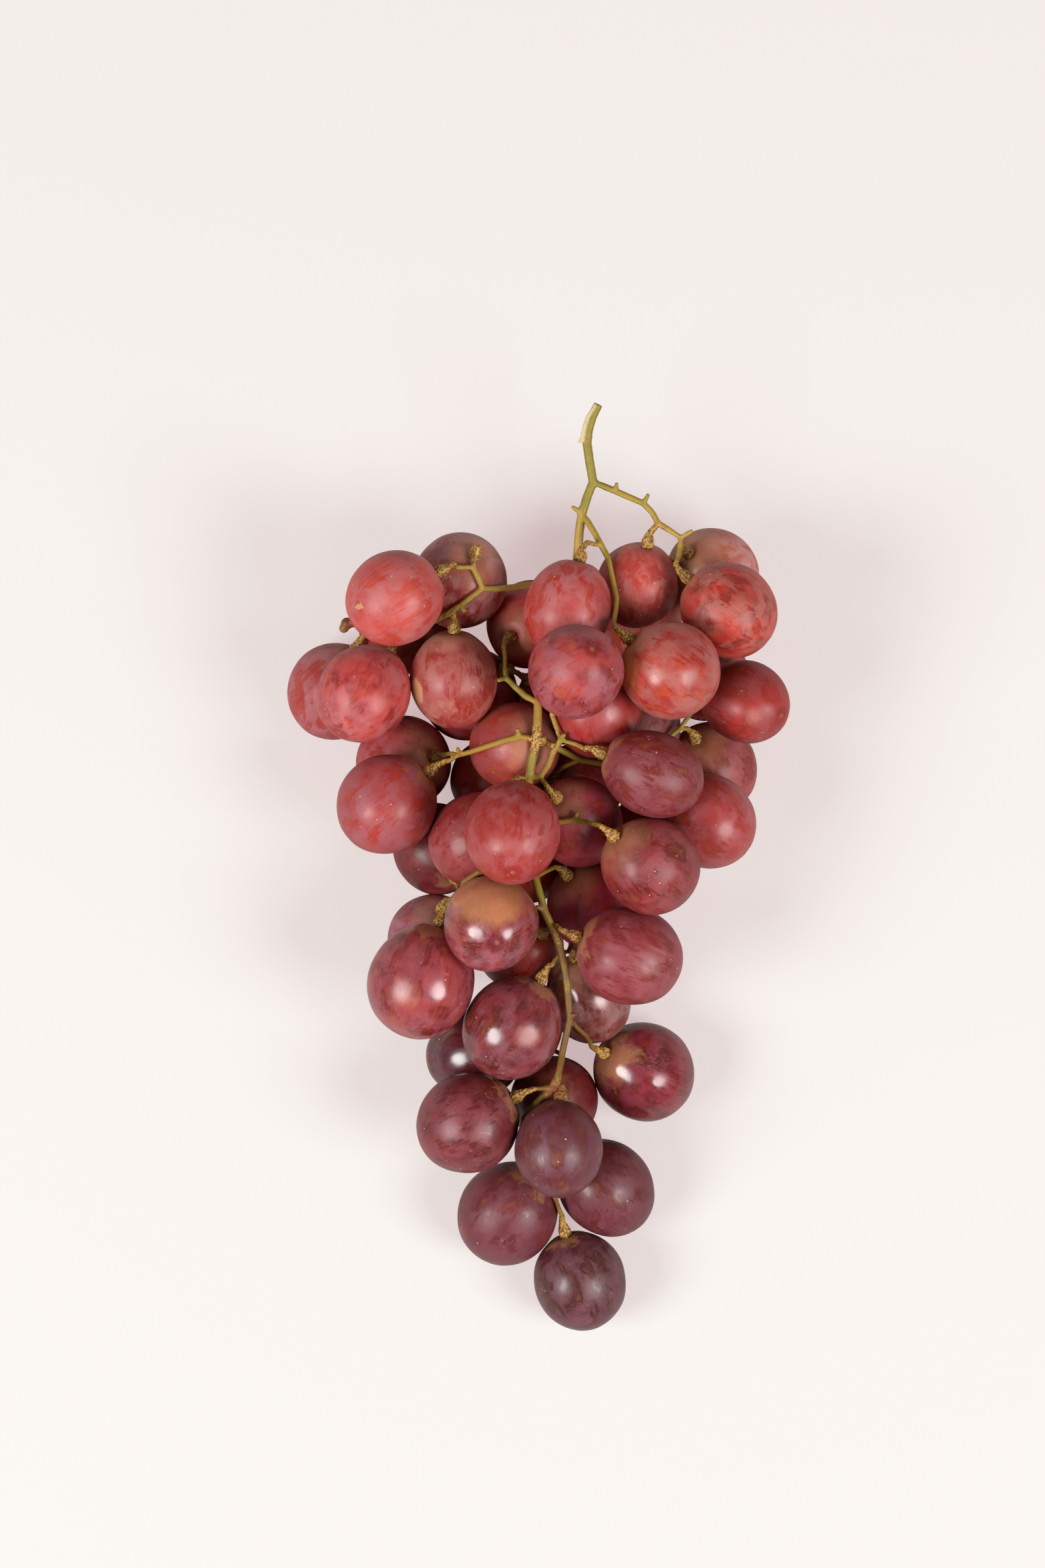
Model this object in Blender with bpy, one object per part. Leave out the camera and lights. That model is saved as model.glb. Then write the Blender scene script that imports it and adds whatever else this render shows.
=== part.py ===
"""A bunch of red table grapes lying on a flat surface: separate berries on one grown stalk.

+Z is up, +Y runs along the bunch towards the cut end of its stalk, and the origin is the
middle of the bunch's footprint. Lists below are in millimetres.
"""

import math

import bmesh
import bpy
import numpy as np
from mathutils import Matrix, Vector

MM = 0.001

# Driving dimensions, in millimetres.
BERRY_GAP = 0.35  # clear space between neighbouring berries
STALK_GAP = 0.65  # clear space between the stalk's axis tubes and a berry
REST_DIP = 0.9  # how far a resting berry is pressed flat by the surface
BERRY_SIDES = 12
BERRY_RINGS = 8
RACHIS_SIDES = 8
SHOOT_SIDES = 6
RACHIS_RADIUS = 1.2
SHOOT_RADIUS = 0.8
PEDICEL_RADIUS = 0.75
CAP_RADIUS = 2.1  # the swollen cap at the end of each pedicel
CAP_GAP = 0.3  # from the cap's face to the berry
CAP_PROFILE = ((6.2, 0.75), (3.6, 0.95), (2.2, 1.65), (1.2, CAP_RADIUS))
POINT_SPACING = 4.2
ROOT_SLIMNESS = 0.82  # a shoot starts a little slimmer inside its parent
ROOT_TURN = 0.37  # radians that each shoot is turned on its axis from the one before
STEM_SPACING = 2.0  # between the points of the main stem that berries are kept clear of
STUB_RADIUS = 0.75
STUB_TIP_RADIUS = 0.6
CAP_CLEARANCE = 0.3  # clear space between a cap and the berries beside it

# How the berries settle and how the stalk's skeleton is fitted between them.
SETTLE_STEPS = 500
SETTLE_STRIDE = 0.5
HOME_PULL = 0.04
STEM_PUSH = 0.3
FIT_STEPS = 160
SMOOTHING_SHARE = 0.7  # part of the fit during which the runs are smoothed
SMOOTHING = 0.10
ROUTE_PULL = 0.08
FLOOR_CLEARANCE = 0.5

TONES = {
    "rose": "B23A48",
    "scarlet": "B0303A",
    "crimson": "8C2438",
    "mauve": "8E3F55",
    "plum": "5E1D33",
    "dusk": "471726",
    "stalk": "A08A3C",
}

# The main stem, from its cut end to the tip of the bunch.
RACHIS = [
    (14.9, 116.2, 38.0),
    (12.9, 112.8, 37.5),
    (12.0, 109.8, 37.0),
    (11.5, 106.8, 36.5),
    (12.5, 102.6, 36.0),
    (13.5, 96.6, 35.0),
    (12.0, 93.3, 34.5),
    (10.6, 89.0, 34.0),
    (10.0, 84.3, 33.0),
    (9.8, 76.0, 30.0),
    (9.2, 65.0, 25.8),
    (7.2, 58.0, 28.0),
    (5.8, 52.0, 34.0),
    (3.0, 46.0, 39.5),
    (0.3, 41.0, 42.5),
    (-0.3, 36.0, 43.2),
    (-1.0, 32.1, 43.4),
    (-1.9, 26.5, 43.0),
    (-2.7, 21.5, 41.5),
    (-3.0, 14.0, 39.5),
    (-2.5, 5.0, 38.8),
    (-1.6, -3.4, 39.0),
    (0.1, -7.3, 39.0),
    (1.5, -11.8, 39.0),
    (3.4, -15.6, 39.0),
    (5.7, -21.6, 38.8),
    (6.5, -25.2, 38.5),
    (7.3, -31.5, 37.8),
    (7.4, -38.1, 37.2),
    (6.6, -43.4, 36.8),
    (5.5, -48.4, 35.5),
    (4.9, -54.0, 31.8),
    (4.0, -57.0, 29.5),
    (-3.0, -62.0, 25.0),
    (-5.0, -68.0, 20.8),
    (-2.5, -75.0, 18.6),
    (1.5, -80.5, 19.4),
    (4.7, -86.0, 20.0),
]

# Side shoots: the branch each grows from, and its points after the join.
SHOOTS = {
    "right_shoulder": (
        "rachis",
        [
            (16.2, 95.7, 35.5),
            (19.0, 94.0, 36.6),
            (23.6, 92.4, 36.6),
            (26.4, 91.1, 36.5),
            (28.9, 89.3, 36.3),
            (30.4, 86.9, 36.2),
            (32.7, 84.6, 37.5),
            (36.1, 82.9, 38.8),
            (35.4, 80.0, 39.6),
            (35.2, 77.3, 40.6),
        ],
    ),
    "right_inner": (
        "rachis",
        [
            (12.0, 87.3, 35.5),
            (13.8, 84.2, 37.2),
            (16.2, 80.7, 38.6),
            (17.9, 77.7, 39.2),
            (18.4, 73.3, 40.5),
            (19.1, 66.8, 43.0),
            (18.5, 60.3, 46.5),
        ],
    ),
    "left_shoulder": (
        "rachis",
        [
            (5.0, 73.0, 30.0),
            (-0.7, 70.8, 32.0),
            (-5.5, 70.3, 35.0),
            (-11.1, 69.6, 38.2),
            (-14.8, 69.6, 40.2),
            (-17.8, 67.6, 41.0),
            (-19.7, 65.7, 41.4),
            (-22.8, 63.7, 40.5),
            (-26.0, 61.5, 37.5),
            (-30.0, 59.5, 34.5),
            (-37.0, 59.0, 32.5),
        ],
    ),
    "left_lift": ("left_shoulder", [(-16.1, 72.6, 41.0), (-16.6, 74.6, 41.8)]),
    "upper_left": (
        "rachis",
        [(-3.8, 42.1, 42.2), (-6.4, 45.0, 40.8), (-8.5, 47.2, 39.2), (-8.8, 49.5, 37.6)],
    ),
    "left_arm": (
        "rachis",
        [
            (-5.0, 32.4, 43.4),
            (-8.4, 31.6, 43.4),
            (-13.3, 29.9, 42.6),
            (-17.9, 28.2, 40.8),
            (-19.7, 27.6, 39.8),
        ],
    ),
    "right_arm": (
        "rachis",
        [
            (3.2, 30.6, 41.5),
            (7.1, 28.8, 39.5),
            (11.1, 26.9, 37.0),
            (16.0, 25.5, 33.5),
            (22.0, 25.5, 31.0),
            (29.0, 29.5, 30.0),
            (35.0, 33.5, 29.0),
        ],
    ),
    "upright": (
        "rachis",
        [(-0.2, 22.2, 42.2), (2.7, 24.8, 43.2), (3.4, 28.8, 44.8), (4.8, 31.4, 45.4)],
    ),
    "right_lower": (
        "rachis",
        [(2.0, 9.5, 40.5), (5.2, 11.2, 43.2), (9.0, 11.4, 45.0), (12.9, 10.8, 47.5)],
    ),
    "left_lower": (
        "rachis",
        [(-8.0, -2.2, 41.3), (-14.6, -2.6, 41.8), (-20.0, -5.0, 38.0), (-22.5, -9.0, 34.5)],
    ),
}

# Broken ends of pedicels that lost their berry: branch, foot, tip.
STUBS = [
    ("right_shoulder", (19.0, 94.0, 36.6), (19.6, 96.4, 37.6)),
    ("right_shoulder", (26.4, 91.1, 36.5), (27.6, 93.6, 37.5)),
    ("right_shoulder", (36.1, 82.9, 38.8), (38.6, 84.2, 39.8)),
    ("rachis", (10.6, 89.0, 34.0), (8.2, 90.6, 35.4)),
    ("left_shoulder", (-19.7, 65.7, 41.4), (-18.6, 63.6, 42.6)),
    ("left_shoulder", (-37.0, 59.0, 32.5), (-48.4, 61.8, 29.5)),
    ("upper_left", (-8.5, 47.2, 39.2), (-10.6, 46.4, 40.4)),
    ("left_arm", (-5.0, 32.4, 43.4), (-5.6, 34.4, 44.6)),
    ("left_arm", (-19.7, 27.6, 39.8), (-20.6, 29.6, 41.2)),
    ("upright", (4.8, 31.4, 45.4), (6.4, 33.0, 47.0)),
    ("right_lower", (9.0, 11.4, 45.0), (9.6, 13.6, 46.2)),
    ("rachis", (1.5, -11.8, 39.0), (-0.8, -10.2, 40.4)),
    ("rachis", (7.4, -38.1, 37.2), (9.2, -37.4, 38.6)),
]

REST = None  # the height of a berry that lies on the surface
STEADY = 0.25
FIRM = 1.0
LOOSE = 4.0

# Berries: centre, width, length, direction of the stem end, tone, how freely it settles,
# the branch it hangs from, and points that its pedicel passes.
BERRIES = [
    ((-35.2, 67.2, 46.0), 23.0, 24.5, (0.85, 0.50, -0.05), "rose", FIRM, "left_lift",
     [(-19.9, 74.6, 42.6), (-22.7, 74.6, 43.4)]),
    ((-21.5, 70.8, 28.0), 23.6, 24.8, (0.30, 0.48, 0.82), "crimson", STEADY, "left_lift", []),
    ((-51.2, 45.8, REST), 23.8, 25.2, (0.40, 0.75, 0.50), "crimson", STEADY, "left_shoulder",
     [(-41.5, 59.5, 27.5)]),
    ((-44.1, 43.2, 38.0), 23.0, 25.4, (0.45, 0.75, -0.40), "scarlet", FIRM, "left_shoulder", []),
    ((-21.4, 46.6, 35.0), 21.8, 24.9, (0.00, 0.95, 0.30), "rose", FIRM, "left_shoulder",
     [(-20.9, 62.9, 40.6)]),
    ((-34.2, 60.4, REST), 24.0, 25.4, (0.35, 0.00, 0.94), "plum", STEADY, "left_shoulder", []),
    ((0.2, 58.4, 21.0), 22.0, 24.4, (-0.40, -0.28, 0.86), "plum", STEADY, "upper_left",
     [(-8.4, 51.7, 36.0)]),
    ((8.6, 65.0, 41.5), 21.6, 24.3, (0.24, 0.97, 0.00), "scarlet", FIRM, "right_inner",
     [(14.2, 80.5, 39.5)]),
    ((11.4, 46.9, 57.0), 22.9, 25.5, (-0.30, -0.40, -0.85), "mauve", FIRM, "upright",
     [(4.4, 35.6, 44.6), (4.2, 38.6, 42.8)]),
    ((24.7, 69.6, 29.0), 20.5, 21.4, (0.21, 0.90, 0.37), "crimson", FIRM, "right_shoulder", []),
    ((43.0, 73.8, 21.0), 23.0, 25.0, (-0.50, 0.37, 0.78), "rose", FIRM, "right_shoulder", []),
    ((47.5, 64.0, 43.0), 23.4, 24.5, (-0.78, 0.62, 0.00), "scarlet", FIRM, "right_shoulder", []),
    ((32.5, 48.7, 54.0), 24.1, 24.4, (-0.80, 0.60, 0.10), "rose", FIRM, "right_inner", []),
    ((52.2, 41.4, 33.0), 20.5, 23.5, (-0.70, 0.30, -0.60), "crimson", FIRM, "right_arm",
     [(40.5, 41.0, 27.0)]),
    ((43.2, 26.8, REST), 22.7, 25.0, (-0.36, 0.57, 0.74), "plum", STEADY, "right_arm", []),
    ((27.7, 21.3, 48.0), 20.8, 25.8, (-0.93, 0.38, 0.05), "plum", FIRM, "upright",
     [(10.4, 30.4, 46.0), (13.1, 28.1, 47.5)]),
    ((42.0, 10.5, 32.0), 23.4, 25.0, (-0.80, 0.55, -0.10), "scarlet", FIRM, "right_arm", []),
    ((27.7, -0.2, 45.0), 23.4, 25.0, (-0.69, 0.56, 0.45), "crimson", FIRM, "right_lower", []),
    ((22.2, -18.9, 38.0), 24.2, 26.7, (-0.93, 0.35, 0.10), "crimson", FIRM, "rachis",
     [(4.1, -14.0, 39.6)]),
    ((25.5, -51.7, REST), 25.0, 26.5, (-0.73, 0.38, 0.57), "plum", FIRM, "rachis",
     [(9.0, -40.8, 36.0), (12.8, -43.6, 32.0)]),
    ((12.8, -34.9, 22.0), 21.0, 24.5, (-0.25, 0.80, 0.50), "mauve", FIRM, "rachis",
     [(8.0, -22.2, 36.0)]),
    ((10.8, -9.9, 21.0), 22.2, 24.5, (-0.50, 0.60, 0.60), "plum", FIRM, "rachis",
     [(1.2, -1.6, 36.6)]),
    ((9.5, 10.7, 30.0), 22.0, 24.5, (-0.42, 0.47, 0.77), "mauve", FIRM, "upright", []),
    ((-6.8, 8.5, 55.0), 23.4, 27.0, (0.00, 0.73, -0.68), "scarlet", FIRM, "rachis", []),
    ((-16.2, 6.7, 33.0), 23.4, 25.0, (0.75, 0.50, 0.20), "mauve", FIRM, "rachis", []),
    ((-37.9, 15.1, 34.0), 24.5, 25.7, (0.79, 0.60, 0.15), "rose", FIRM, "left_arm",
     [(-23.0, 25.7, 39.2)]),
    ((-32.0, 26.9, REST), 23.6, 25.5, (0.60, 0.10, 0.79), "mauve", STEADY, "left_arm",
     [(-22.4, 28.3, 35.0)]),
    ((-6.4, 29.2, 29.0), 22.3, 24.5, (0.45, 0.10, 0.88), "crimson", FIRM, "rachis", []),
    ((-25.6, 2.4, REST), 22.6, 24.6, (0.35, -0.55, 0.76), "mauve", STEADY, "left_lower", []),
    ((-26.4, -17.4, REST), 22.6, 24.6, (0.21, 0.62, 0.75), "mauve", STEADY, "left_lower", []),
    ((-12.3, -14.7, 46.0), 23.4, 25.5, (-0.12, 0.32, -0.94), "crimson", FIRM, "left_lower",
     [(-16.0, -6.5, 35.0)]),
    ((-29.6, -29.2, 34.0), 26.8, 28.7, (0.30, 0.95, 0.00), "crimson", FIRM, "left_lower", []),
    ((-8.4, -19.6, REST), 22.0, 23.8, (0.45, 0.30, 0.84), "plum", FIRM, "rachis",
     [(0.0, -17.0, 31.0)]),
    ((-3.9, -42.1, 31.5), 24.3, 26.8, (0.50, 0.86, 0.05), "crimson", FIRM, "rachis",
     [(4.1, -23.4, 37.6), (3.0, -26.4, 34.8)]),
    ((-15.8, -49.0, REST), 22.9, 25.5, (0.85, 0.20, 0.45), "dusk", FIRM, "rachis",
     [(7.0, -48.2, 26.5), (1.2, -47.2, 19.0)]),
    ((-17.2, -65.4, 28.0), 24.8, 26.2, (0.85, 0.47, 0.10), "crimson", FIRM, "rachis",
     [(1.0, -56.8, 29.6)]),
    ((4.5, -71.8, 32.0), 21.9, 24.2, (0.05, 0.97, -0.22), "mauve", FIRM, "rachis", []),
    ((5.3, -61.8, REST), 22.3, 24.5, (0.05, 0.30, 0.95), "dusk", FIRM, "rachis", []),
    ((-7.0, -90.6, REST), 24.9, 27.4, (0.55, 0.75, 0.35), "plum", FIRM, "rachis", []),
    ((17.0, -83.2, REST), 23.4, 26.8, (-0.60, 0.72, 0.35), "plum", FIRM, "rachis",
     [(4.2, -75.5, 19.0)]),
    ((9.8, -107.2, REST), 23.4, 25.5, (-0.28, 0.93, 0.20), "dusk", FIRM, "rachis",
     [(5.4, -89.8, 18.0)]),
    ((11.2, 24.0, REST), 22.3, 24.0, (-0.50, 0.20, 0.84), "dusk", LOOSE, "right_arm", []),
    ((13.3, 40.1, 33.0), 22.4, 24.5, (0.10, -0.75, -0.60), "rose", LOOSE, "right_arm",
     [(16.5, 25.5, 27.0)]),
    ((28.0, 36.0, 20.0), 22.0, 24.0, (-0.10, -0.85, 0.52), "plum", LOOSE, "right_arm", []),
    ((-12.1, 21.0, REST), 20.3, 22.0, (0.55, -0.45, 0.70), "dusk", LOOSE, "rachis",
     [(-3.2, 15.8, 32.0)]),
    ((1.6, 42.3, REST), 21.3, 23.5, (-0.64, 0.42, 0.63), "dusk", LOOSE, "upper_left", []),
    ((31.5, 63.5, REST), 22.3, 24.0, (0.13, 0.90, 0.40), "mauve", LOOSE, "right_shoulder",
     [(35.0, 75.5, 30.0)]),
    ((23.4, 10.9, REST), 21.3, 23.5, (-0.10, 0.55, 0.83), "dusk", LOOSE, "right_arm", []),
    ((-19.7, 46.4, REST), 23.3, 25.0, (0.65, 0.40, 0.63), "plum", LOOSE, "upper_left",
     [(-10.4, 50.8, 30.0)]),
    ((41.6, 46.6, REST), 22.8, 24.4, (-0.15, -0.45, 0.88), "crimson", STEADY, "right_arm", []),
    ((-3.0, 1.0, REST), 22.4, 24.4, (0.10, 0.30, 0.94), "dusk", LOOSE, "rachis", []),
]


def unit(vectors):
    return vectors / np.linalg.norm(vectors, axis=-1, keepdims=True)


def bulge(berries, index, direction):
    """Half the width of each berry measured along a direction."""
    along = np.sum(berries["axis"][index] * direction, axis=-1)
    half_width = berries["half_width"][index]
    half_length = berries["half_length"][index]
    return np.sqrt(half_width**2 + (half_length**2 - half_width**2) * along**2)


def berry_arrays():
    """The table above as arrays, with each resting berry at its height on the surface."""
    axis = unit(np.array([row[3] for row in BERRIES]))
    berries = {
        "axis": axis,
        "half_width": np.array([row[1] / 2 for row in BERRIES]),
        "half_length": np.array([row[2] / 2 for row in BERRIES]),
        "looseness": np.array([row[5] for row in BERRIES]),
        "rests": np.array([row[0][2] is REST for row in BERRIES]),
    }
    every = np.arange(len(BERRIES))
    up = np.tile((0.0, 0.0, 1.0), (len(BERRIES), 1))
    berries["rest_height"] = bulge(berries, every, up) - REST_DIP
    berries["centre"] = np.array([(row[0][0], row[0][1], row[0][2] or 0.0) for row in BERRIES])
    berries["centre"][berries["rests"], 2] = berries["rest_height"][berries["rests"]]
    return berries


def spread(berries, first, second, start, reach, gap, push):
    """Adds to push what moves the second berries clear of balls at start on the first ones."""
    between = berries["centre"][second] - start
    distance = np.linalg.norm(between, axis=1)
    direction = between / distance[:, None]
    own = reach if reach is not None else bulge(berries, first, direction)
    overlap = np.maximum(own + bulge(berries, second, direction) + gap - distance, 0.0)
    share = berries["looseness"][first] / (
        berries["looseness"][first] + berries["looseness"][second]
    )
    np.add.at(push, first, -direction * (overlap * share)[:, None])
    np.add.at(push, second, direction * (overlap * (1 - share))[:, None])
    return overlap.max()


def clear_of_stem(berries, stem, push):
    """Adds to push what moves every berry clear of the main stem."""
    between = berries["centre"][:, None] - stem[None]
    distance = np.linalg.norm(between, axis=2)
    direction = between / distance[:, :, None]
    every = np.arange(len(distance))[:, None]
    reach = bulge(berries, every, direction) + RACHIS_RADIUS + STALK_GAP
    overlap = np.maximum(reach - distance, 0.0)
    push += (direction * overlap[:, :, None]).max(axis=1) * STEM_PUSH
    push += (direction * overlap[:, :, None]).min(axis=1) * STEM_PUSH


def settle(berries):
    """Lets the berries push each other apart until none overlap."""
    home = berries["centre"].copy()
    first, second = np.triu_indices(len(home), k=1)
    capped, other = np.nonzero(~np.eye(len(home), dtype=bool))
    stem = smooth_path(RACHIS, STEM_SPACING)
    cap_reach = berries["half_length"] + CAP_PROFILE[-1][0]
    for step in range(SETTLE_STEPS):
        push = np.zeros_like(home)
        centre = berries["centre"]
        worst = spread(berries, first, second, centre[first], None, BERRY_GAP, push)
        caps = centre + berries["axis"] * cap_reach[:, None]
        spread(berries, capped, other, caps[capped], CAP_RADIUS + CAP_CLEARANCE, BERRY_GAP, push)
        clear_of_stem(berries, stem, push)
        pull = HOME_PULL * max(0.0, 1 - step / (0.8 * SETTLE_STEPS))
        centre = centre + SETTLE_STRIDE * push + pull * (home - centre)
        on_floor = berries["rests"] | (centre[:, 2] < berries["rest_height"])
        centre[on_floor, 2] = berries["rest_height"][on_floor]
        berries["centre"] = centre
    berries["rests"] = centre[:, 2] <= berries["rest_height"] + 1e-6
    print("settled, largest overlap left in mm:", round(float(worst) - BERRY_GAP, 3))


def smooth_path(points, spacing):
    """Points along a smooth curve through the given ones, about one spacing apart."""
    points = np.array(points, dtype=float)
    padded = np.vstack([2 * points[0] - points[1], points, 2 * points[-1] - points[-2]])
    result = [points[0]]
    for index in range(len(points) - 1):
        before, start, end, after = padded[index : index + 4]
        count = max(1, round(float(np.linalg.norm(end - start)) / spacing))
        for t in np.arange(1, count + 1) / count:
            curve = (
                2 * start
                + (end - before) * t
                + (2 * before - 5 * start + 4 * end - after) * t**2
                + (3 * start - before - 3 * end + after) * t**3
            )
            result.append(curve / 2)
    return np.array(result)


def nearest(points, target):
    return int(np.argmin(np.linalg.norm(np.array(points) - target, axis=1)))


class Stalk:
    """The stalk's skeleton: points with a radius, and branches that are lists of points."""

    def __init__(self):
        self.points = []
        self.radii = []
        self.fixed = []
        self.branches = {}

    def add_point(self, point, radius, fixed=False):
        self.points.append(np.array(point, dtype=float))
        self.radii.append(radius)
        self.fixed.append(fixed)
        return len(self.points) - 1

    def add_branch(self, name, parent, points, radii, fixed_count=0):
        """A branch from the parent's point nearest to its own first one."""
        chain = []
        if parent is not None:
            joints = self.branches[parent]
            chain.append(joints[nearest([self.points[i] for i in joints], points[0])])
        last = len(points) - fixed_count
        for index, (point, radius) in enumerate(zip(points, radii)):
            chain.append(self.add_point(point, radius, index >= last))
        self.branches[name] = chain


def tapered(count, start, end):
    return list(np.linspace(start, end, count))


def grow_stalk(berries):
    """The skeleton of the main stem, its side shoots, broken stubs and one pedicel a berry."""
    stalk = Stalk()
    stem = smooth_path(RACHIS, POINT_SPACING)
    lower = len(stem) // 2
    radii = tapered(lower, 1.3, RACHIS_RADIUS) + tapered(len(stem) - lower, RACHIS_RADIUS, 0.8)
    stalk.add_branch("rachis", None, stem, radii)
    for name, (parent, route) in SHOOTS.items():
        path = smooth_path(route, POINT_SPACING)
        stalk.add_branch(name, parent, path, tapered(len(path), 1.0, SHOOT_RADIUS))
    for number, (branch, foot, tip) in enumerate(STUBS):
        foot = np.array(foot)
        reach = float(np.linalg.norm(np.array(tip) - foot))
        middle = foot + (np.array(tip) - foot) * 0.55
        if reach > POINT_SPACING:
            path = smooth_path([foot + (middle - foot) * 0.4, middle, tip], POINT_SPACING)
        else:
            path = [middle, tip]
        stalk.add_branch(f"stub_{number}", branch, path, tapered(len(path), STUB_RADIUS, STUB_TIP_RADIUS))
    for number, row in enumerate(BERRIES):
        add_pedicel(stalk, berries, number, row[6], row[7])
    return stalk


def add_pedicel(stalk, berries, number, branch, via):
    """A pedicel from a branch to a berry, which ends in a swollen cap."""
    axis = berries["axis"][number]
    pole = berries["centre"][number] + axis * berries["half_length"][number]
    rings = [pole + axis * height for height, _ in CAP_PROFILE] + [pole + axis * CAP_GAP]
    widths = [radius for _, radius in CAP_PROFILE] + [CAP_RADIUS * 0.9]
    joints = stalk.branches[branch]
    foot_target = via[0] if via else rings[0]
    foot = stalk.points[joints[nearest([stalk.points[i] for i in joints], foot_target)]]
    lead = [np.array(point) for point in via]
    start_gap = float(np.linalg.norm(foot - rings[0]))
    if not lead and start_gap < 3.0:
        rings = rings[1:]
        widths = widths[1:]
    path = smooth_path([foot] + lead + [rings[0]], POINT_SPACING)
    points = list(path[1:-1]) + rings
    radii = [PEDICEL_RADIUS] * (len(path) - 2) + widths
    stalk.add_branch(f"pedicel_{number}", branch, points, radii, fixed_count=4)


def fit_stalk(stalk, berries):
    """Pushes the skeleton's free points out of the berries and keeps its runs smooth."""
    points = np.array(stalk.points)
    home = points.copy()
    radii = np.array(stalk.radii)
    free = ~np.array(stalk.fixed)
    links = [[] for _ in points]
    for chain in stalk.branches.values():
        for a, b in zip(chain, chain[1:]):
            links[a].append(b)
            links[b].append(a)
    for step in range(FIT_STEPS):
        if step < FIT_STEPS * SMOOTHING_SHARE:
            middle = np.array([points[near].mean(axis=0) for near in links])
            bent = np.array([len(near) > 1 for near in links]) & free
            points[bent] += SMOOTHING * (middle - points)[bent] + ROUTE_PULL * (home - points)[bent]
        between = points[:, None] - berries["centre"][None]
        distance = np.linalg.norm(between, axis=2)
        direction = between / distance[:, :, None]
        every = np.arange(len(berries["centre"]))[None]
        reach = bulge(berries, every, direction) + radii[:, None] + STALK_GAP
        depth = np.maximum(reach - distance, 0.0)
        worst = depth.argmax(axis=1)
        rows = np.arange(len(points))
        shift = direction[rows, worst] * depth[rows, worst][:, None]
        points[free] += shift[free]
        low = free & (points[:, 2] < radii + FLOOR_CLEARANCE)
        points[low, 2] = radii[low] + FLOOR_CLEARANCE
    stalk.points = list(points)
    left = depth[free].max()
    print("stalk fitted, deepest point in mm:", round(float(left), 3))


def add_tube(bm, points, radii, sides, start_turn):
    """A closed tube through the points, as rings that turn as little as they can."""
    points = [Vector(point) for point in points]
    normal = None
    rings = []
    for index, point in enumerate(points):
        ahead = points[min(index + 1, len(points) - 1)] - point
        behind = point - points[max(index - 1, 0)]
        tangent = (ahead.normalized() + behind.normalized()).normalized()
        if normal is None:
            normal = tangent.orthogonal().normalized()
        normal = (normal - tangent * normal.dot(tangent)).normalized()
        across = tangent.cross(normal)
        ring = []
        for side in range(sides):
            turn = start_turn + 2 * math.pi * side / sides
            offset = (normal * math.cos(turn) + across * math.sin(turn)) * radii[index]
            ring.append(bm.verts.new((point + offset) * MM))
        rings.append(ring)
    for ring, following in zip(rings, rings[1:]):
        for side in range(sides):
            after = (side + 1) % sides
            bm.faces.new((ring[side], ring[after], following[after], following[side]))
    bm.faces.new(rings[0][::-1])
    bm.faces.new(rings[-1])


def tone_material(name, tone, roughness):
    material = bpy.data.materials.new(name)
    material.use_nodes = True
    shader = material.node_tree.nodes["Principled BSDF"]
    parts = [int(TONES[tone][i : i + 2], 16) / 255 for i in (0, 2, 4)]
    linear = [((part + 0.055) / 1.055) ** 2.4 for part in parts]
    shader.inputs["Base Color"].default_value = (*linear, 1.0)
    shader.inputs["Roughness"].default_value = roughness
    shader.inputs["Metallic"].default_value = 0.0
    return material


def new_object(name, bm, material, parent):
    mesh = bpy.data.meshes.new(name)
    bm.to_mesh(mesh)
    bm.free()
    mesh.shade_smooth()
    obj = bpy.data.objects.new(name, mesh)
    obj.data.materials.append(material)
    obj.parent = parent
    bpy.context.scene.collection.objects.link(obj)
    return obj


def make_stalk(stalk, bunch):
    """One solid: the main stem, with every shoot, stub and pedicel joined to it."""
    material = tone_material("stalk", "stalk", 0.65)
    shoots = bmesh.new()
    stem = bmesh.new()
    for number, (name, chain) in enumerate(stalk.branches.items()):
        points = [stalk.points[i] for i in chain]
        radii = [stalk.radii[i] for i in chain]
        if name == "rachis":
            add_tube(stem, points, radii, RACHIS_SIDES, 0.0)
            continue
        radii[0] = radii[1] * ROOT_SLIMNESS
        add_tube(shoots, points, radii, SHOOT_SIDES, number * ROOT_TURN)
    helper = new_object("stalk_shoots", shoots, material, bunch)
    helper.hide_render = True
    helper.display_type = "WIRE"
    obj = new_object("stalk", stem, material, bunch)
    join = obj.modifiers.new("join_shoots", "BOOLEAN")
    join.operation = "UNION"
    join.solver = "EXACT"
    join.use_self = True
    join.object = helper
    return obj


def make_berry(name, centre, axis, half_width, half_length, rests, tone, bunch):
    """A prolate berry with its stem end at local +Z, pressed flat where it rests."""
    turn = Vector((0, 0, 1)).rotation_difference(Vector(axis))
    bm = bmesh.new()
    bmesh.ops.create_uvsphere(bm, u_segments=BERRY_SIDES, v_segments=BERRY_RINGS, radius=1)
    bmesh.ops.scale(bm, vec=Vector((half_width, half_width, half_length)) * MM, verts=bm.verts)
    if rests:
        down = turn.inverted() @ Vector((0, 0, -1))
        floor = down * float(centre[2]) * MM
        geometry = bm.verts[:] + bm.edges[:] + bm.faces[:]
        cut = bmesh.ops.bisect_plane(
            bm, geom=geometry, plane_co=floor, plane_no=down, clear_outer=True
        )
        rim = [item for item in cut["geom_cut"] if isinstance(item, bmesh.types.BMEdge)]
        bmesh.ops.contextual_create(bm, geom=rim)
        bmesh.ops.recalc_face_normals(bm, faces=bm.faces)
    obj = new_object(name, bm, tone_material(name, tone, 0.38), bunch)
    obj.location = Vector(centre) * MM
    obj.rotation_mode = "QUATERNION"
    obj.rotation_quaternion = turn
    return obj


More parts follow.
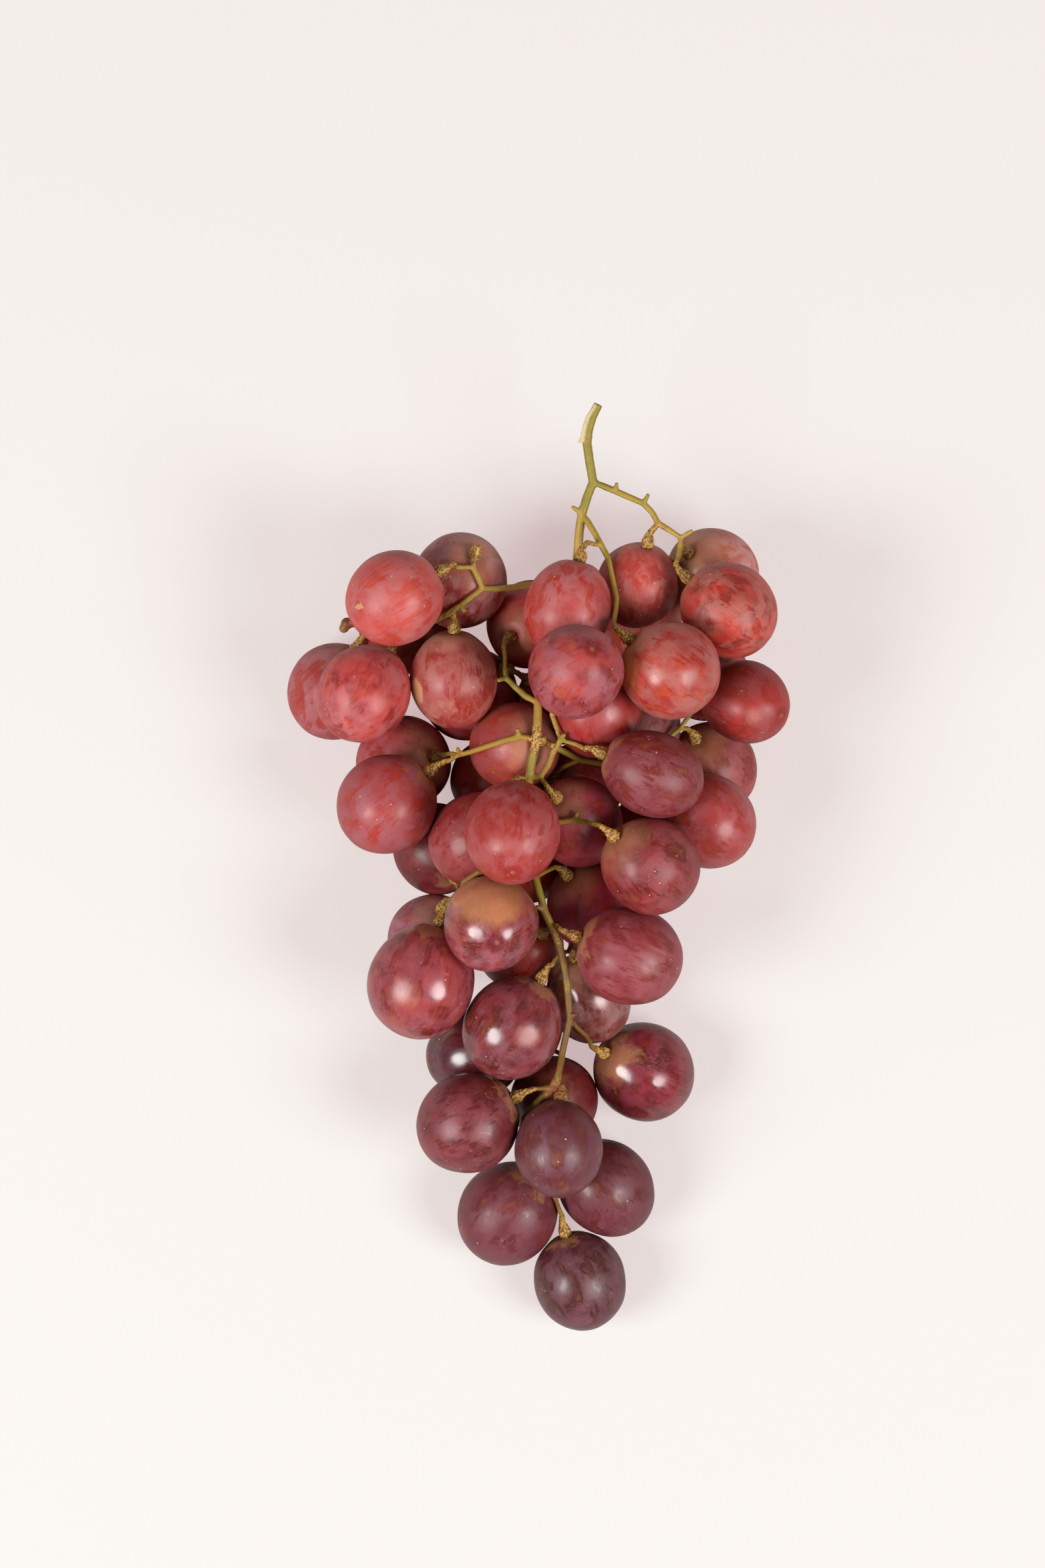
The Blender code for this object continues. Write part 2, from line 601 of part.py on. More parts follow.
def centre_footprint(bunch, objects):
    """Moves the whole bunch so that the middle of its footprint is the origin."""
    bpy.context.view_layer.update()
    corners = []
    for obj in objects:
        corners += [obj.matrix_world @ vertex.co for vertex in obj.data.vertices]
    corners = np.array(corners)
    middle = (corners.min(axis=0) + corners.max(axis=0)) / 2
    bunch.location = Vector((-middle[0], -middle[1], 0.0))
    bpy.context.view_layer.update()


def main():
    for obj in list(bpy.data.objects):
        bpy.data.objects.remove(obj, do_unlink=True)
    bunch = bpy.data.objects.new("bunch", None)
    bpy.context.scene.collection.objects.link(bunch)

    berries = berry_arrays()
    settle(berries)
    stalk = grow_stalk(berries)
    fit_stalk(stalk, berries)

    objects = [make_stalk(stalk, bunch)]
    for index, row in enumerate(BERRIES):
        objects.append(
            make_berry(
                f"berry_{index + 1:02d}",
                berries["centre"][index],
                berries["axis"][index],
                berries["half_width"][index],
                berries["half_length"][index],
                bool(berries["rests"][index]),
                row[4],
                bunch,
            )
        )
    centre_footprint(bunch, objects)


main()
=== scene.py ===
import math

import bmesh
import bpy
import numpy as np
from mathutils import Matrix, Vector, noise


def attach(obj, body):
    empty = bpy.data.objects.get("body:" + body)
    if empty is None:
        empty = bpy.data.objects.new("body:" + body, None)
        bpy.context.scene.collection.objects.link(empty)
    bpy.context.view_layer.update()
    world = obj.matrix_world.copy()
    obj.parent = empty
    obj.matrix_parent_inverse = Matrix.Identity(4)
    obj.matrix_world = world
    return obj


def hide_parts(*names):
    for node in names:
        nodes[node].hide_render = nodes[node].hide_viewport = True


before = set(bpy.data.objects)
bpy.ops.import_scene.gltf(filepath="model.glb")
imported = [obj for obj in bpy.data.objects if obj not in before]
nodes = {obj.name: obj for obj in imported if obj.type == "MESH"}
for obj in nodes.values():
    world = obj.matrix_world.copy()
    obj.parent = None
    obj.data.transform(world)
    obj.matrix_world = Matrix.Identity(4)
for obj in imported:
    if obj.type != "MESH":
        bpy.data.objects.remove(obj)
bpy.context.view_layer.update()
mm = 0.001


def hexColour(text):
    # sRGB hex to the linear colour that a shader takes
    parts = [int(text[i:i + 2], 16) / 255 for i in (0, 2, 4)]
    linear = [p / 12.92 if p <= 0.04045 else ((p + 0.055) / 1.055) ** 2.4 for p in parts]
    return (*linear, 1.0)


def addNode(tree, kind, settings, links):
    # settings: the node's properties; links: input -> socket, node (its first output), hex colour or value
    node = tree.nodes.new(kind)
    for name, value in settings.items():
        setattr(node, name, value)
    for key, source in links.items():
        if isinstance(source, bpy.types.Node):
            source = source.outputs[0]
        if isinstance(source, bpy.types.NodeSocket):
            tree.links.new(source, node.inputs[key])
        else:
            node.inputs[key].default_value = hexColour(source) if isinstance(source, str) else source
    return node


def emptyMaterial(name):
    material = bpy.data.materials.new(name)
    material.use_nodes = True
    material.node_tree.nodes.clear()
    return material


def linkedObject(name, data):
    obj = bpy.data.objects.new(name, data)
    bpy.context.scene.collection.objects.link(obj)
    return obj


def meshPlaces(mesh):
    # vertex places, which in every mesh here are world places in metres
    flat = np.empty(len(mesh.vertices) * 3, np.float32)
    mesh.vertices.foreach_get("co", flat)
    return flat.reshape(-1, 3).astype(float)


def claimNode(obj, node):
    # the finished piece takes the place of its CAD node
    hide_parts(node.name)
    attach(obj, "root")


# ground is the ripe flush, deep is bare skin in its darkest patches, wax is the dusty bloom
# and stem the paler skin round the pedicel. bloom 0 to 1 is how much wax is left, shine is the
# roughness of bare skin, gloss how strongly it mirrors a lamp, and reach how far the stem
# colour runs from the pedicel, as a part of half the length.
grapeLooks = {
    1: {"ground": "BD453B", "deep": "AD2D24", "wax": "B46968", "stem": "AE7A56",
        "bloom": 0.72, "shine": 0.34, "gloss": 0.0, "reach": 0.1},
    2: {"ground": "B0341E", "deep": "8E0C0A", "wax": "BE8C88", "stem": "B4846A",
        "bloom": 0.72, "shine": 0.34, "gloss": 0.0, "reach": 0.37},
    3: {"ground": "A22F2B", "deep": "9E1D19", "wax": "A8696D", "stem": "AE7A56",
        "bloom": 0.85, "shine": 0.34, "gloss": 0.0, "reach": 0.1},
    4: {"ground": "BA413B", "deep": "8A120D", "wax": "B46465", "stem": "AE7A56",
        "bloom": 0.72, "shine": 0.34, "gloss": 0.0, "reach": 0.1},
    5: {"ground": "942A30", "deep": "8D0C0B", "wax": "AC6F61", "stem": "B88A6A",
        "bloom": 0.72, "shine": 0.34, "gloss": 0.0, "reach": 0.34},
    6: {"ground": "98221C", "deep": "7C120E", "wax": "A64A48", "stem": "8A5438",
        "bloom": 0.72, "shine": 0.34, "gloss": 0.0, "reach": 0.2},
    7: {"ground": "AE3618", "deep": "AD1007", "wax": "B94A52", "stem": "B4846A",
        "bloom": 0.72, "shine": 0.34, "gloss": 0.0, "reach": 0.37},
    8: {"ground": "AC382E", "deep": "A8150B", "wax": "B46D6C", "stem": "AE7A56",
        "bloom": 0.72, "shine": 0.34, "gloss": 0.0, "reach": 0.1},
    9: {"ground": "A93D37", "deep": "750C0A", "wax": "A1565D", "stem": "AE7A56",
        "bloom": 0.85, "shine": 0.34, "gloss": 0.0, "reach": 0.1},
    10: {"ground": "BF3834", "deep": "AD2F2C", "wax": "C37769", "stem": "AE7A56",
        "bloom": 0.72, "shine": 0.34, "gloss": 0.0, "reach": 0.29},
    11: {"ground": "BF5B5B", "deep": "AD2B0A", "wax": "C4948E", "stem": "BE8A62",
        "bloom": 0.72, "shine": 0.34, "gloss": 0.0, "reach": 0.75},
    12: {"ground": "BA190F", "deep": "810707", "wax": "B66C5E", "stem": "AE7A56",
        "bloom": 0.7, "shine": 0.34, "gloss": 0.0, "reach": 0.1},
    13: {"ground": "AF3B2C", "deep": "970B08", "wax": "A76B62", "stem": "CC8448",
        "bloom": 0.72, "shine": 0.26, "gloss": 0.15, "reach": 0.25},
    14: {"ground": "A12823", "deep": "861A18", "wax": "944442", "stem": "AE7A56",
        "bloom": 0.72, "shine": 0.34, "gloss": 0.0, "reach": 0.18},
    15: {"ground": "7D100E", "deep": "7A0707", "wax": "A85D5B", "stem": "AE7A56",
        "bloom": 0.72, "shine": 0.34, "gloss": 0.0, "reach": 0.37},
    16: {"ground": "78231D", "deep": "6B0807", "wax": "884B51", "stem": "AE7A56",
        "bloom": 0.72, "shine": 0.34, "gloss": 0.0, "reach": 0.18},
    17: {"ground": "9D3128", "deep": "99251C", "wax": "A95A5E", "stem": "AE7A56",
        "bloom": 0.72, "shine": 0.26, "gloss": 0.15, "reach": 0.1},
    18: {"ground": "7E1919", "deep": "5C0707", "wax": "984B4D", "stem": "AE7A56",
        "bloom": 0.72, "shine": 0.34, "gloss": 0.0, "reach": 0.37},
    19: {"ground": "812728", "deep": "6A0807", "wax": "964F56", "stem": "AE7A56",
        "bloom": 0.72, "shine": 0.34, "gloss": 0.0, "reach": 0.1},
    20: {"ground": "76171B", "deep": "510707", "wax": "93414F", "stem": "AE7A56",
        "bloom": 0.6, "shine": 0.14, "gloss": 0.5, "reach": 0.24},
    21: {"ground": "702018", "deep": "540707", "wax": "A27571", "stem": "AE7A56",
        "bloom": 0.6, "shine": 0.14, "gloss": 0.5, "reach": 0.57},
    22: {"ground": "A0110D", "deep": "860707", "wax": "A23F5B", "stem": "AE7A56",
        "bloom": 0.72, "shine": 0.34, "gloss": 0.0, "reach": 0.37},
    23: {"ground": "A42E27", "deep": "720707", "wax": "A94A5C", "stem": "AE7A56",
        "bloom": 0.72, "shine": 0.34, "gloss": 0.0, "reach": 0.37},
    24: {"ground": "9A2C25", "deep": "8F120C", "wax": "A7595A", "stem": "AE7A56",
        "bloom": 0.72, "shine": 0.34, "gloss": 0.0, "reach": 0.1},
    25: {"ground": "8C2D29", "deep": "840E0D", "wax": "9E4D4F", "stem": "AE7A56",
        "bloom": 0.72, "shine": 0.26, "gloss": 0.15, "reach": 0.18},
    26: {"ground": "A13C36", "deep": "9D2219", "wax": "995A62", "stem": "AE7A56",
        "bloom": 0.72, "shine": 0.34, "gloss": 0.0, "reach": 0.18},
    27: {"ground": "9C2C2C", "deep": "861210", "wax": "AB595C", "stem": "AE7A56",
        "bloom": 0.72, "shine": 0.34, "gloss": 0.0, "reach": 0.37},
    28: {"ground": "9D452E", "deep": "99271E", "wax": "964145", "stem": "B4846A",
        "bloom": 0.72, "shine": 0.34, "gloss": 0.0, "reach": 0.45},
    29: {"ground": "5F0F10", "deep": "440707", "wax": "873337", "stem": "AE7A56",
        "bloom": 0.72, "shine": 0.34, "gloss": 0.0, "reach": 0.18},
    30: {"ground": "931E1D", "deep": "650707", "wax": "A3747F", "stem": "B4846A",
        "bloom": 0.72, "shine": 0.34, "gloss": 0.0, "reach": 0.37},
    31: {"ground": "8E2B23", "deep": "620707", "wax": "A1606B", "stem": "C08256",
        "bloom": 0.6, "shine": 0.15, "gloss": 0.45, "reach": 0.5},
    32: {"ground": "9A3A36", "deep": "6E0808", "wax": "9D525B", "stem": "AE7A56",
        "bloom": 0.6, "shine": 0.13, "gloss": 0.45, "reach": 0.1},
    33: {"ground": "A6292B", "deep": "9F0707", "wax": "A75A51", "stem": "8A5438",
        "bloom": 0.72, "shine": 0.26, "gloss": 0.15, "reach": 0.2},
    34: {"ground": "7B2222", "deep": "540707", "wax": "93575F", "stem": "AE7A56",
        "bloom": 0.6, "shine": 0.15, "gloss": 0.5, "reach": 0.1},
    35: {"ground": "5A0F0E", "deep": "400707", "wax": "643945", "stem": "AE7A56",
        "bloom": 0.6, "shine": 0.1, "gloss": 0.8, "reach": 0.18},
    36: {"ground": "651717", "deep": "520C0C", "wax": "884249", "stem": "AE7A56",
        "bloom": 0.72, "shine": 0.26, "gloss": 0.15, "reach": 0.1},
    37: {"ground": "602525", "deep": "5A1B1E", "wax": "693A46", "stem": "AE7A56",
        "bloom": 0.85, "shine": 0.3, "gloss": 0.15, "reach": 0.12},
    38: {"ground": "661013", "deep": "5C070B", "wax": "692727", "stem": "8A5438",
        "bloom": 0.72, "shine": 0.34, "gloss": 0.0, "reach": 0.2},
    39: {"ground": "6D2629", "deep": "5A181C", "wax": "713C44", "stem": "AE7A56",
        "bloom": 0.85, "shine": 0.3, "gloss": 0.0, "reach": 0.12},
    40: {"ground": "5B1E1D", "deep": "541514", "wax": "723A46", "stem": "AE7A56",
        "bloom": 0.85, "shine": 0.3, "gloss": 0.0, "reach": 0.12},
    41: {"ground": "421515", "deep": "3E0B0D", "wax": "71434A", "stem": "AE7A56",
        "bloom": 0.85, "shine": 0.3, "gloss": 0.15, "reach": 0.12},
    42: {"ground": "A83018", "deep": "940A0A", "wax": "B4565A", "stem": "8A5438",
        "bloom": 0.72, "shine": 0.34, "gloss": 0.0, "reach": 0.18},
    43: {"ground": "9C312B", "deep": "930707", "wax": "9B4546", "stem": "AE7A56",
        "bloom": 0.72, "shine": 0.26, "gloss": 0.15, "reach": 0.29},
    44: {"ground": "77302B", "deep": "5B100E", "wax": "8E5652", "stem": "AE7A56",
        "bloom": 0.72, "shine": 0.34, "gloss": 0.0, "reach": 0.29},
    45: {"ground": "A83218", "deep": "9D1007", "wax": "B05652", "stem": "8A5438",
        "bloom": 0.72, "shine": 0.34, "gloss": 0.0, "reach": 0.18},
    46: {"ground": "A2161C", "deep": "8B0809", "wax": "9A3238", "stem": "AE7A56",
        "bloom": 0.72, "shine": 0.34, "gloss": 0.0, "reach": 0.29},
    47: {"ground": "A83C22", "deep": "AD0707", "wax": "B47C7A", "stem": "AE7A56",
        "bloom": 0.72, "shine": 0.34, "gloss": 0.0, "reach": 0.18},
    48: {"ground": "9E2A30", "deep": "8A1618", "wax": "B04A52", "stem": "8A5438",
        "bloom": 0.72, "shine": 0.34, "gloss": 0.0, "reach": 0.18},
    49: {"ground": "A83420", "deep": "940F0B", "wax": "B65D68", "stem": "8A5438",
        "bloom": 0.72, "shine": 0.34, "gloss": 0.0, "reach": 0.18},
    50: {"ground": "72100E", "deep": "6C0707", "wax": "CE6660", "stem": "8A5438",
        "bloom": 0.72, "shine": 0.34, "gloss": 0.0, "reach": 0.18},
    51: {"ground": "A22018", "deep": "8C1612", "wax": "A8563E", "stem": "8A5438",
        "bloom": 0.72, "shine": 0.34, "gloss": 0.0, "reach": 0.18},
}

skinNoise = {  # lump size in mm, detail, roughness, distortion, and the places it is read at
    "streaks": (1.0, 3.0, 0.55, 0.5, "lengthwise"), "clouds": (7.0, 3.0, 0.55, 0.5, "plain"),
    "blotches": (3.7, 4.0, 0.55, 0.35, "drawnOut"), "grain": (0.5, 3.0, 0.6, 0.2, "plain"),
    "waxClouds": (5.5, 4.0, 0.58, 0.6, "plain"), "waxSides": (14.0, 1.0, 0.5, 0.3, "plain"),
    "scuffs": (3.6, 2.0, 0.5, 1.8, "plain"),
}
# the milky tint is partly painted highlight: on some grapes it lies where a lamp's soft highlight falls
skinTints = {"blossom": "9A6444", "milkyAndPaintedHighlight": "B6746A", "scab": "C09468", "fleck": "F0CDBB", "scuff": "D8A09A"}
grapeFlesh = {
    "ior": 1.42, "glossIor": 0.28,  # skin, and what full gloss adds
    "glow": 0.32, "glowDepth": 4.5 * mm, "glowReach": (1.0, 0.16, 0.09),
    "relief": 0.4, "reliefHeight": 0.05 * mm,
}


def makeSkinPattern():
    # The colour, roughness and relief that every grape shares; each skin sets its own inputs.
    # Gives the eye: cloudy wax with red patches rubbed bare, fine streaks, a few flecks and milky marks,
    # some of them painted highlights.
    tree = bpy.data.node_groups.new("grapeSkinPattern", "ShaderNodeTree")
    sides = (
        ("Ground", "NodeSocketColor", "INPUT"), ("Deep", "NodeSocketColor", "INPUT"),
        ("Wax", "NodeSocketColor", "INPUT"), ("Stem", "NodeSocketColor", "INPUT"),
        ("Bloom", "NodeSocketFloat", "INPUT"), ("Reach", "NodeSocketFloat", "INPUT"),
        ("Shine", "NodeSocketFloat", "INPUT"), ("Seed", "NodeSocketVector", "INPUT"),
        ("Colour", "NodeSocketColor", "OUTPUT"), ("Roughness", "NodeSocketFloat", "OUTPUT"),
        ("Relief", "NodeSocketFloat", "OUTPUT"),
    )
    for name, kind, side in sides:
        tree.interface.new_socket(name, in_out=side, socket_type=kind)
    given = tree.nodes.new("NodeGroupInput").outputs
    ease = {"interpolation_type": "SMOOTHSTEP"}
    add, times, timesAdd = {"operation": "ADD"}, {"operation": "MULTIPLY"}, {"operation": "MULTIPLY_ADD"}

    # places on the skin in mm, with the stem pole at local +Z, and the marks that the mesh carries
    place = addNode(tree, "ShaderNodeAttribute", {"attribute_name": "skinPlace"}, {}).outputs["Vector"]
    marks = addNode(tree, "ShaderNodeAttribute", {"attribute_name": "skinMarks"}, {}).outputs["Vector"]
    axes = addNode(tree, "ShaderNodeSeparateXYZ", {}, {0: place}).outputs
    marked = addNode(tree, "ShaderNodeSeparateXYZ", {}, {0: marks}).outputs
    plain = addNode(tree, "ShaderNodeVectorMath", add, {0: place, 1: given["Seed"]})
    drawnOut = addNode(tree, "ShaderNodeVectorMath", times, {0: plain, 1: (1.0, 1.0, 0.62)})

    # streaks run from stem to tip: noise on the direction round the axis
    aside = addNode(tree, "ShaderNodeCombineXYZ", {}, {0: axes["X"], 1: axes["Y"]})
    around = addNode(tree, "ShaderNodeVectorMath", {"operation": "NORMALIZE"}, {0: aside})
    spread = addNode(tree, "ShaderNodeVectorMath", {"operation": "SCALE"}, {0: around, "Scale": 15.0})
    slow = addNode(tree, "ShaderNodeVectorMath", times, {0: plain, 1: (0.12, 0.12, 0.16)})
    lengthwise = addNode(tree, "ShaderNodeVectorMath", add, {0: spread, 1: slow})

    readAt = {"plain": plain, "drawnOut": drawnOut, "lengthwise": lengthwise}
    fac = {}
    for name, (size, detail, rough, twist, where) in skinNoise.items():
        lumps = addNode(tree, "ShaderNodeTexNoise", {}, {
            "Vector": readAt[where], "Scale": 1.0 / size, "Detail": detail, "Roughness": rough,
            "Distortion": twist})
        fac[name] = lumps.outputs["Fac"]

    # bare skin: ripe ground with deep clouds and streaks
    deepClouds = addNode(tree, "ShaderNodeMapRange", ease,
                         {"Value": fac["clouds"], "From Min": 0.40, "From Max": 0.60})
    deepStreaks = addNode(tree, "ShaderNodeMapRange", ease,
                          {"Value": fac["streaks"], "From Min": 0.46, "From Max": 0.72, "To Max": 0.35})

    # wax lies in clouds, thicker on one side, and is rubbed off in patches about 3 mm across
    patches = addNode(tree, "ShaderNodeMath", timesAdd, {0: fac["grain"], 1: 0.10, 2: -0.22})
    patches = addNode(tree, "ShaderNodeMath", timesAdd, {0: fac["streaks"], 1: 0.34, 2: patches})
    patches = addNode(tree, "ShaderNodeMath", add, {0: fac["blotches"], 1: patches})
    unrubbed = addNode(tree, "ShaderNodeMapRange", ease, {
        "Value": patches, "From Min": 0.485, "From Max": 0.605, "To Min": 1.0, "To Max": 0.12})
    dust = addNode(tree, "ShaderNodeMapRange", ease, {
        "Value": fac["waxClouds"], "From Min": 0.36, "From Max": 0.60, "To Min": 0.22, "To Max": 0.80})
    dustySide = addNode(tree, "ShaderNodeMapRange", ease, {
        "Value": fac["waxSides"], "From Min": 0.36, "From Max": 0.60, "To Max": 0.34})
    grainy = addNode(tree, "ShaderNodeMath", timesAdd, {0: fac["grain"], 1: 0.50, 2: 0.70})
    streaky = addNode(tree, "ShaderNodeMath", timesAdd, {0: fac["streaks"], 1: 0.66, 2: 0.66})
    wax = addNode(tree, "ShaderNodeMath", add, {0: dust, 1: dustySide})
    for share in (given["Bloom"], unrubbed, grainy, streaky):
        wax = addNode(tree, "ShaderNodeMath", times, {0: wax, 1: share})

    # paler skin round the pedicel, with a ragged edge, and sunned skin where the mesh marks it
    stemward = addNode(tree, "ShaderNodeMath", timesAdd, {0: fac["streaks"], 1: 0.12, 2: -0.46})
    stemward = addNode(tree, "ShaderNodeMath", timesAdd, {0: fac["blotches"], 1: 0.8, 2: stemward})
    stemward = addNode(tree, "ShaderNodeMath", timesAdd, {0: axes["Z"], 1: 1 / 12.5, 2: stemward})
    start = addNode(tree, "ShaderNodeMath", {"operation": "SUBTRACT"}, {0: 1.0, 1: given["Reach"]})
    past = addNode(tree, "ShaderNodeMath", {"operation": "SUBTRACT"}, {0: stemward, 1: start})
    width = addNode(tree, "ShaderNodeMath", times, {0: given["Reach"], 1: 1.1})
    width = addNode(tree, "ShaderNodeMath", {"operation": "MAXIMUM"}, {0: width, 1: 0.05})
    past = addNode(tree, "ShaderNodeMath", {"operation": "DIVIDE"}, {0: past, 1: width})
    stemZone = addNode(tree, "ShaderNodeMapRange", ease,
                       {"Value": past, "From Min": 0.0, "From Max": 1.0, "To Max": 0.62})
    sunned = addNode(tree, "ShaderNodeMath", timesAdd, {0: fac["blotches"], 1: 0.9, 2: marked["Z"]})
    sunned = addNode(tree, "ShaderNodeMapRange", ease,
                     {"Value": sunned, "From Min": 0.45, "From Max": 1.0, "To Max": 0.80})
    paled = addNode(tree, "ShaderNodeMath", {"operation": "MAXIMUM"}, {0: stemZone, 1: sunned})
    palerClouds = addNode(tree, "ShaderNodeMath", timesAdd, {0: fac["waxClouds"], 1: 0.45, 2: 0.72})
    palerGrain = addNode(tree, "ShaderNodeMath", timesAdd, {0: fac["grain"], 1: 0.35, 2: 0.80})
    for share in (palerClouds, palerGrain):
        paled = addNode(tree, "ShaderNodeMath", times, {0: paled, 1: share})

    # tip at local -Z: a tan point of dried blossom in a patch of bare skin
    offAxis = addNode(tree, "ShaderNodeVectorMath", {"operation": "LENGTH"}, {0: aside}).outputs["Value"]
    atTip = addNode(tree, "ShaderNodeMapRange", ease,
                    {"Value": axes["Z"], "From Min": -6.0, "From Max": -9.0})
    bareTip = addNode(tree, "ShaderNodeMath", timesAdd, {0: fac["blotches"], 1: 3.0, 2: offAxis})
    bareTip = addNode(tree, "ShaderNodeMapRange", ease,
                      {"Value": bareTip, "From Min": 4.7, "From Max": 3.1, "To Max": 0.7})
    bareTip = addNode(tree, "ShaderNodeMath", times, {0: bareTip, 1: atTip})
    blossom = addNode(tree, "ShaderNodeMath", timesAdd, {0: fac["grain"], 1: 0.9, 2: offAxis})
    blossom = addNode(tree, "ShaderNodeMapRange", ease,
                      {"Value": blossom, "From Min": 1.3, "From Max": 0.7, "To Max": 0.75})
    blossom = addNode(tree, "ShaderNodeMath", times, {0: blossom, 1: atTip})

    # dry scabs and milky patches that the mesh marks; some milky marks are painted highlights, a pale tint
    # where a lamp's soft highlight falls or along the lit side of a crease
    scab = addNode(tree, "ShaderNodeMath", timesAdd, {0: fac["grain"], 1: 0.9, 2: marked["X"]})
    scab = addNode(tree, "ShaderNodeMapRange", ease, {"Value": scab, "From Min": 0.73, "From Max": 0.85})
    scabTint = addNode(tree, "ShaderNodeMath", times, {0: scab, 1: 0.85})
    milkyAndPaintedHighlight = addNode(tree, "ShaderNodeMath", timesAdd, {0: fac["blotches"], 1: 0.8, 2: marked["Y"]})
    milkyAndPaintedHighlight = addNode(tree, "ShaderNodeMapRange", ease, {"Value": milkyAndPaintedHighlight, "From Min": 0.5, "From Max": 1.3})
    milkyAndPaintedHighlightTint = addNode(tree, "ShaderNodeMath", times, {0: milkyAndPaintedHighlight, 1: 0.5})

    # flecks 0.3 mm across, a few on each side of a grape
    cells = addNode(tree, "ShaderNodeTexVoronoi", {}, {"Vector": plain, "Scale": 1 / 3.0})
    chosen = addNode(tree, "ShaderNodeMapRange", ease,
                     {"Value": cells.outputs["Color"], "From Min": 0.50, "From Max": 0.54})
    fleck = addNode(tree, "ShaderNodeMath", timesAdd,
                    {0: fac["grain"], 1: 0.05, 2: cells.outputs["Distance"]})
    fleck = addNode(tree, "ShaderNodeMapRange", ease, {"Value": fleck, "From Min": 0.095, "From Max": 0.06})
    fleck = addNode(tree, "ShaderNodeMath", times, {0: fleck, 1: chosen})
    fleckTint = addNode(tree, "ShaderNodeMath", times, {0: fleck, 1: 0.85})

    # scuffs: thin broken pale lines where a neighbour rubbed
    scuff = addNode(tree, "ShaderNodeMath", {"operation": "SUBTRACT"}, {0: fac["scuffs"], 1: 0.5})
    scuff = addNode(tree, "ShaderNodeMath", {"operation": "ABSOLUTE"}, {0: scuff})
    scuff = addNode(tree, "ShaderNodeMapRange", ease,
                    {"Value": scuff, "From Min": 0.0, "From Max": 0.011, "To Min": 0.6, "To Max": 0.0})
    for name, low, high in (("clouds", 0.55, 0.62), ("grain", 0.45, 0.60)):
        broken = addNode(tree, "ShaderNodeMapRange", ease,
                         {"Value": fac[name], "From Min": low, "From Max": high})
        scuff = addNode(tree, "ShaderNodeMath", times, {0: scuff, 1: broken})

    # each layer is laid over the ones before it
    layers = (
        (deepClouds, given["Deep"]), (deepStreaks, given["Deep"]), (wax, given["Wax"]),
        (paled, given["Stem"]), (bareTip, given["Deep"]), (blossom, skinTints["blossom"]),
        (milkyAndPaintedHighlightTint, skinTints["milkyAndPaintedHighlight"]), (scabTint, skinTints["scab"]), (fleckTint, skinTints["fleck"]),
        (scuff, skinTints["scuff"]),
    )
    colour = given["Ground"]
    for amount, tint in layers:
        mix = addNode(tree, "ShaderNodeMix", {"data_type": "RGBA"}, {0: amount, 6: colour, 7: tint})
        colour = mix.outputs[2]

    # wax, flecks, scabs and the milky marks, painted highlights among them, dull the shine; wax and scabs
    # stand a little proud
    rubs = addNode(tree, "ShaderNodeMath", add, {0: fleck, 1: scab})
    dull = addNode(tree, "ShaderNodeMath", add, {0: rubs, 1: milkyAndPaintedHighlight})
    rough = addNode(tree, "ShaderNodeMath", timesAdd, {0: wax, 1: 0.24, 2: given["Shine"]})
    rough = addNode(tree, "ShaderNodeMath", timesAdd, {0: dull, 1: 0.22, 2: rough})
    relief = addNode(tree, "ShaderNodeMath", times, {0: fac["grain"], 1: 0.35})
    relief = addNode(tree, "ShaderNodeMath", timesAdd, {0: rubs, 1: 0.8, 2: relief})
    relief = addNode(tree, "ShaderNodeMath", timesAdd, {0: wax, 1: 0.5, 2: relief})
    addNode(tree, "NodeGroupOutput", {}, {"Colour": colour, "Roughness": rough, "Relief": relief})
    return tree


def makeGrapeSkin(number, pattern):
    # Grape skin: thin waxed fruit skin over clear flesh. Gives the eye a soft red glow from
    # light in the flesh, and a highlight that wax turns from crisp to milky.
    look = grapeLooks[number]
    material = emptyMaterial(f"grapeSkin{number:02d}")
    tree = material.node_tree
    rng = np.random.default_rng(400 + number)
    seed = tuple(float(v) for v in rng.uniform(-90, 90, 3))
    own = {key.capitalize(): value for key, value in look.items() if key != "gloss"}
    skin = addNode(tree, "ShaderNodeGroup", {"node_tree": pattern}, {**own, "Seed": seed})
    bump = addNode(tree, "ShaderNodeBump", {}, {
        "Height": skin.outputs["Relief"], "Strength": grapeFlesh["relief"],
        "Distance": grapeFlesh["reliefHeight"]})
    shader = addNode(tree, "ShaderNodeBsdfPrincipled", {}, {
        "Base Color": skin.outputs["Colour"], "Roughness": skin.outputs["Roughness"], "Normal": bump,
        "IOR": grapeFlesh["ior"] + grapeFlesh["glossIor"] * look["gloss"],
        "Subsurface Weight": grapeFlesh["glow"], "Subsurface Radius": grapeFlesh["glowReach"],
        "Subsurface Scale": grapeFlesh["glowDepth"]})
    addNode(tree, "ShaderNodeOutputMaterial", {}, {"Surface": shader})
    return material


grapeShape = {
    "sides": 72, "rings": 46,
    "swell": 0.20 * mm,  # fills the gap that the solids keep to each other
    "lump": 0.026, "fineLump": 0.007,
    "dimple": 0.55 * mm, "dimpleRadius": 2.1 * mm,  # where the pedicel goes in
    "shoulder": 0.20 * mm,  # low rim round the dimple
    "blossomDimple": 0.20 * mm, "blossomRadius": 0.8 * mm,
    "crease": 0.22 * mm, "creaseWidth": 0.09,
    "creased": {19: 0.0},  # grape with a fold along its length: its angle from straight up, in degrees
}

